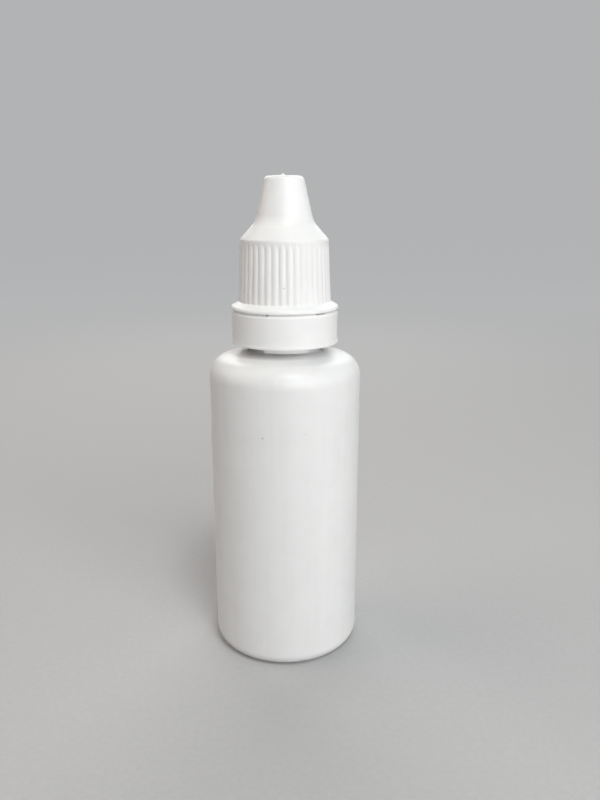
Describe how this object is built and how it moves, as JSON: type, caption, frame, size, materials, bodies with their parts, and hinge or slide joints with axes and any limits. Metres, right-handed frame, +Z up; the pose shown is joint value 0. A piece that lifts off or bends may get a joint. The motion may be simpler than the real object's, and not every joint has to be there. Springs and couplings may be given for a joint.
{
  "type": "eye drop bottle",
  "caption": "Slim round squeeze bottle with a dropper nozzle under a ribbed, tapered screw cap and a tamper-evident ring.",
  "frame": {"origin": "centre of the base, on the plane the bottle stands on", "axes": "+Z up along the bottle's axis, -Y towards the side that the picture shows"},
  "size_m": [0.032, 0.032, 0.1017],
  "materials": {
    "bottle_plastic": "satin white low-density polyethylene",
    "nozzle_plastic": "satin white low-density polyethylene",
    "cap_plastic": "semi-gloss white moulded polyethylene"
  },
  "bodies": {
    "bottle_body": {"bottle": "bottle_plastic", "dropper_nozzle": "nozzle_plastic"},
    "ring_body": {"tamper_ring": "cap_plastic"},
    "cap_body": {"screw_cap": "cap_plastic"}
  },
  "joints": [
    {"name": "cap_turn", "type": "hinge", "parent": "bottle_body", "child": "ring_body", "pos_m": [0, 0, 0.075], "axis": [0, 0, 1], "range_deg": [0, 720]},
    {"name": "cap_lift", "type": "slide", "parent": "ring_body", "child": "cap_body", "axis": [0, 0, 1], "range_m": [0, 0.006]}
  ],
  "couplings": [
    {"joint": "cap_lift", "follows": "cap_turn", "m_per_rad": 0.00047746}
  ]
}
